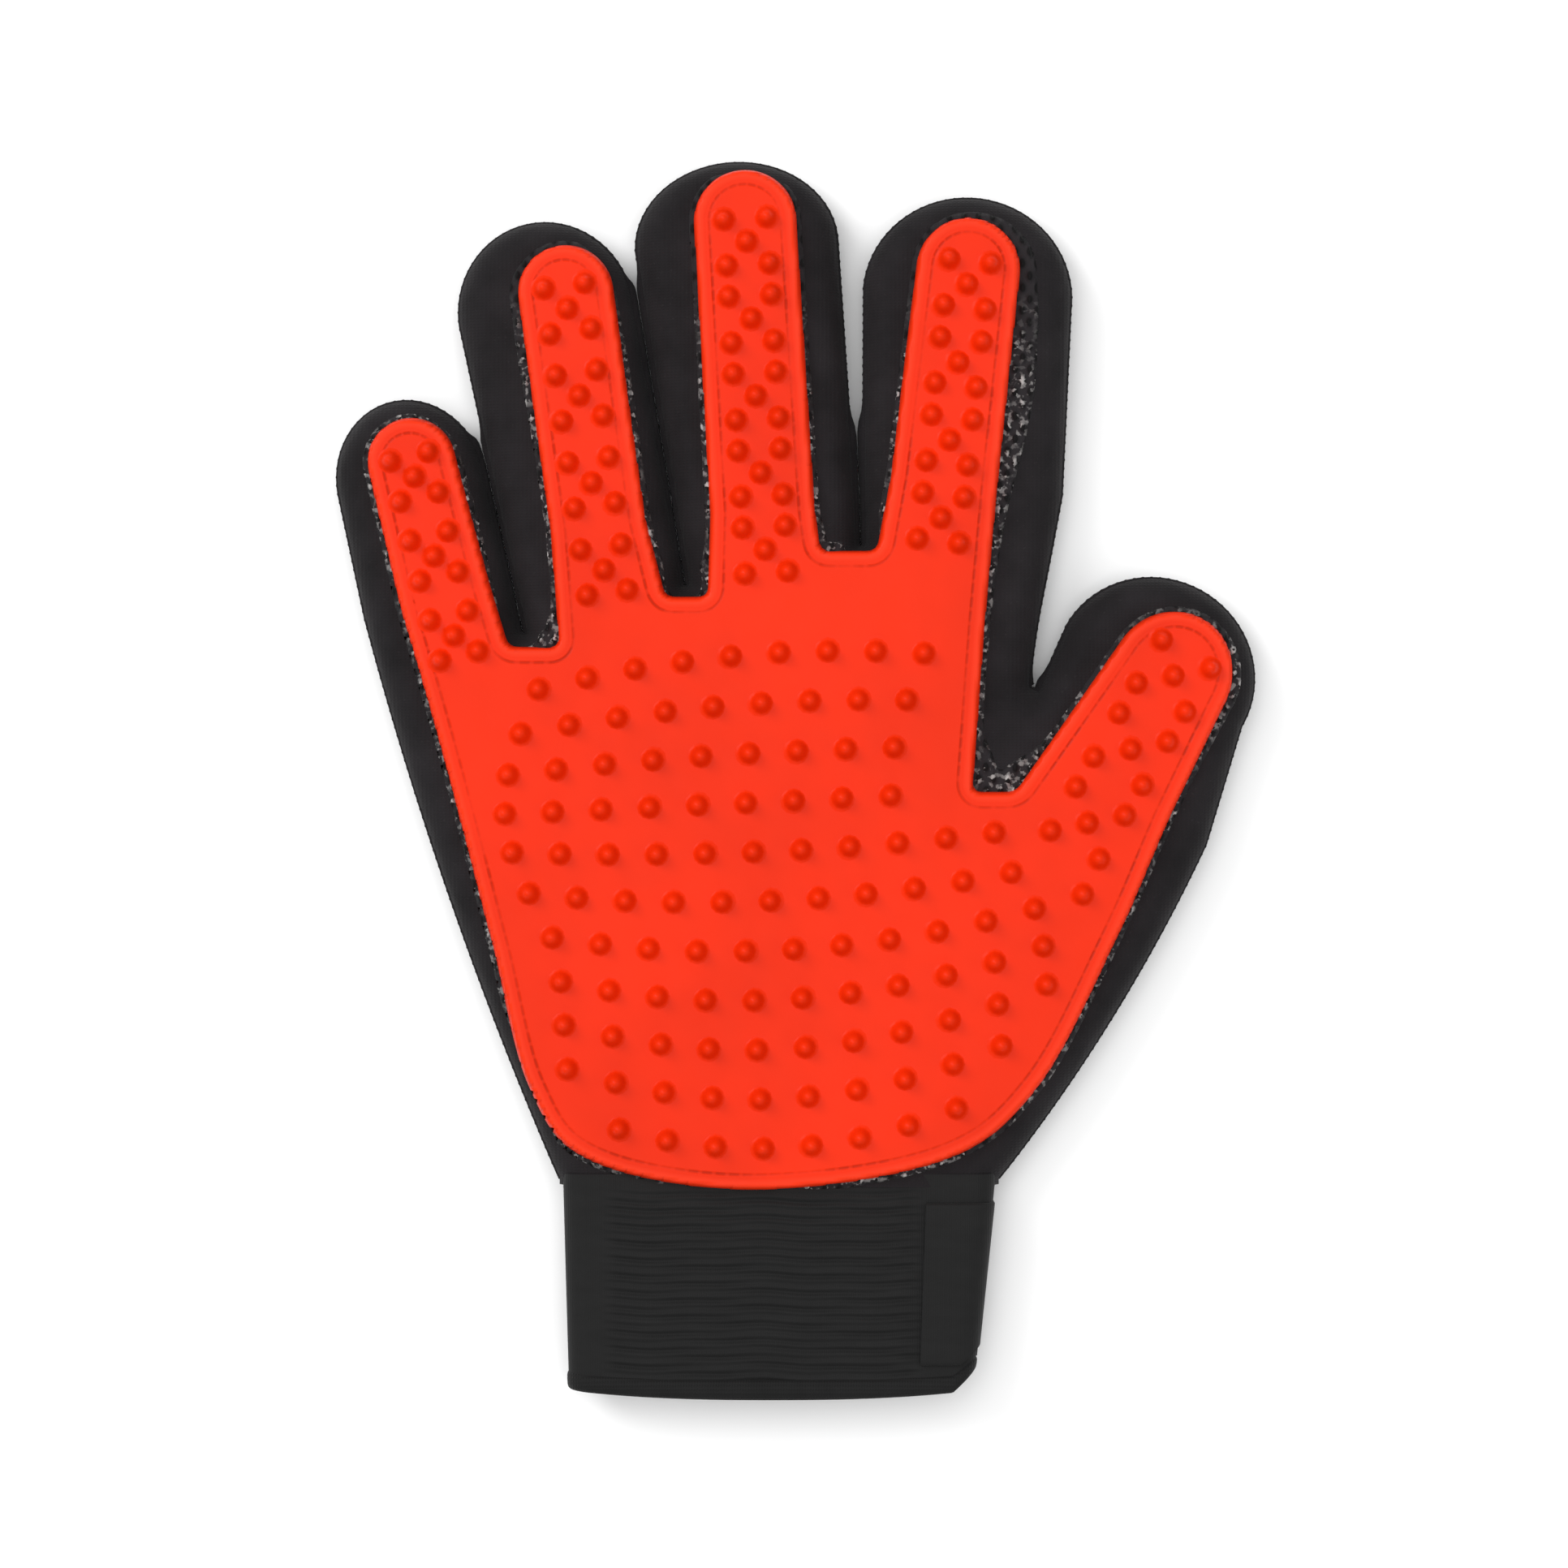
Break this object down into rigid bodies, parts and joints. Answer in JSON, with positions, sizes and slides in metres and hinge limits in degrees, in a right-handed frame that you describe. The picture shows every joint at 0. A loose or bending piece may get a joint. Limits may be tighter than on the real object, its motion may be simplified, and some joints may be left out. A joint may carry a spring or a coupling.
{
  "type": "grooming glove",
  "caption": "Five-finger pet grooming glove for the right hand with a nubbed silicone palm pad, stretch cloth body and a wide elastic cuff with a hook-and-loop strap.",
  "frame": {"origin": "under the middle of the glove's outline, on the surface that its back panel lies on", "axes": "+X towards the thumb's side, +Y towards the fingertips, +Z out of the palm"},
  "size_m": [0.1711, 0.23, 0.0179],
  "materials": {
    "silicone": "satin moulded silicone",
    "palm_mesh": "black air mesh with pale flecks",
    "gusset_cloth": "matt black stretch cloth",
    "back_mesh": "matt black open mesh",
    "cuff_elastic": "ribbed black elastic",
    "hem_binding": "black binding tape",
    "seam_tape": "black woven tape",
    "loop_pile": "soft black loop pile",
    "hook_pile": "black moulded hooks",
    "strap_webbing": "black woven elastic",
    "pull_tab": "matt black moulded tab"
  },
  "bodies": {
    "hand": {"hand_back": "back_mesh", "hand_side": "gusset_cloth", "hand_mesh": "palm_mesh", "hand_pad": "silicone", "cuff_palm_elastic": "cuff_elastic", "cuff_back_elastic": "cuff_elastic", "cuff_hem": "hem_binding", "wrist_seam_palm": "seam_tape", "wrist_seam_back": "seam_tape", "cuff_loop_patch": "loop_pile", "strap_anchor": "strap_webbing"},
    "little_base": {"little_base_back": "back_mesh", "little_base_side": "gusset_cloth", "little_base_mesh": "palm_mesh", "little_base_pad": "silicone"},
    "little_tip": {"little_tip_back": "back_mesh", "little_tip_side": "gusset_cloth", "little_tip_mesh": "palm_mesh", "little_tip_pad": "silicone"},
    "ring_base": {"ring_base_back": "back_mesh", "ring_base_side": "gusset_cloth", "ring_base_mesh": "palm_mesh", "ring_base_pad": "silicone"},
    "ring_tip": {"ring_tip_back": "back_mesh", "ring_tip_side": "gusset_cloth", "ring_tip_mesh": "palm_mesh", "ring_tip_pad": "silicone"},
    "middle_base": {"middle_base_back": "back_mesh", "middle_base_side": "gusset_cloth", "middle_base_mesh": "palm_mesh", "middle_base_pad": "silicone"},
    "middle_tip": {"middle_tip_back": "back_mesh", "middle_tip_side": "gusset_cloth", "middle_tip_mesh": "palm_mesh", "middle_tip_pad": "silicone"},
    "index_base": {"index_base_back": "back_mesh", "index_base_side": "gusset_cloth", "index_base_mesh": "palm_mesh", "index_base_pad": "silicone"},
    "index_tip": {"index_tip_back": "back_mesh", "index_tip_side": "gusset_cloth", "index_tip_mesh": "palm_mesh", "index_tip_pad": "silicone"},
    "thumb_base": {"thumb_base_back": "back_mesh", "thumb_base_side": "gusset_cloth", "thumb_base_mesh": "palm_mesh", "thumb_base_pad": "silicone"},
    "thumb_tip": {"thumb_tip_back": "back_mesh", "thumb_tip_side": "gusset_cloth", "thumb_tip_mesh": "palm_mesh", "thumb_tip_pad": "silicone"},
    "strap": {"strap_elastic": "strap_webbing", "strap_hook_patch": "hook_pile", "strap_pull_tab": "pull_tab"}
  },
  "joints": [
    {"name": "little_root_knuckle", "type": "hinge", "parent": "hand", "child": "little_base", "pos_m": [-0.0649, 0.0339, 0.0148], "axis": [0.9699, 0.2436, 0], "range_deg": [0, 60], "stiffness_Nm_per_rad": 0.02},
    {"name": "little_middle_knuckle", "type": "hinge", "parent": "little_base", "child": "little_tip", "pos_m": [-0.06857, 0.0485, 0.0148], "axis": [0.9699, 0.2436, 0], "range_deg": [0, 60], "stiffness_Nm_per_rad": 0.02},
    {"name": "ring_root_knuckle", "type": "hinge", "parent": "hand", "child": "ring_base", "pos_m": [-0.0365, 0.04675, 0.0148], "axis": [0.9903, 0.1392, 0], "range_deg": [0, 60], "stiffness_Nm_per_rad": 0.02},
    {"name": "ring_middle_knuckle", "type": "hinge", "parent": "ring_base", "child": "ring_tip", "pos_m": [-0.04101, 0.07884, 0.0148], "axis": [0.9903, 0.1392, 0], "range_deg": [0, 60], "stiffness_Nm_per_rad": 0.02},
    {"name": "middle_root_knuckle", "type": "hinge", "parent": "hand", "child": "middle_base", "pos_m": [-0.0061, 0.04945, 0.0148], "axis": [0.9982, 0.0593, 0], "range_deg": [0, 60], "stiffness_Nm_per_rad": 0.02},
    {"name": "middle_middle_knuckle", "type": "hinge", "parent": "middle_base", "child": "middle_tip", "pos_m": [-0.00779, 0.0779, 0.0148], "axis": [0.9982, 0.0593, 0], "range_deg": [0, 60], "stiffness_Nm_per_rad": 0.02},
    {"name": "index_root_knuckle", "type": "hinge", "parent": "hand", "child": "index_base", "pos_m": [0.0276, 0.0554, 0.0148], "axis": [0.9936, -0.1132, 0], "range_deg": [0, 60], "stiffness_Nm_per_rad": 0.02},
    {"name": "index_middle_knuckle", "type": "hinge", "parent": "index_base", "child": "index_tip", "pos_m": [0.03088, 0.08421, 0.0148], "axis": [0.9936, -0.1132, 0], "range_deg": [0, 60], "stiffness_Nm_per_rad": 0.02},
    {"name": "thumb_root_knuckle", "type": "hinge", "parent": "hand", "child": "thumb_base", "pos_m": [0.0571, -0.0008, 0.0148], "axis": [0.8634, -0.5045, 0], "range_deg": [0, 60], "stiffness_Nm_per_rad": 0.02},
    {"name": "thumb_middle_knuckle", "type": "hinge", "parent": "thumb_base", "child": "thumb_tip", "pos_m": [0.06505, 0.0128, 0.0148], "axis": [0.8634, -0.5045, 0], "range_deg": [0, 60], "stiffness_Nm_per_rad": 0.02},
    {"name": "strap_fold", "type": "hinge", "parent": "hand", "child": "strap", "pos_m": [0.036, -0.0935, 0.0011], "axis": [0, -1, 0], "range_deg": [0, 180]}
  ]
}
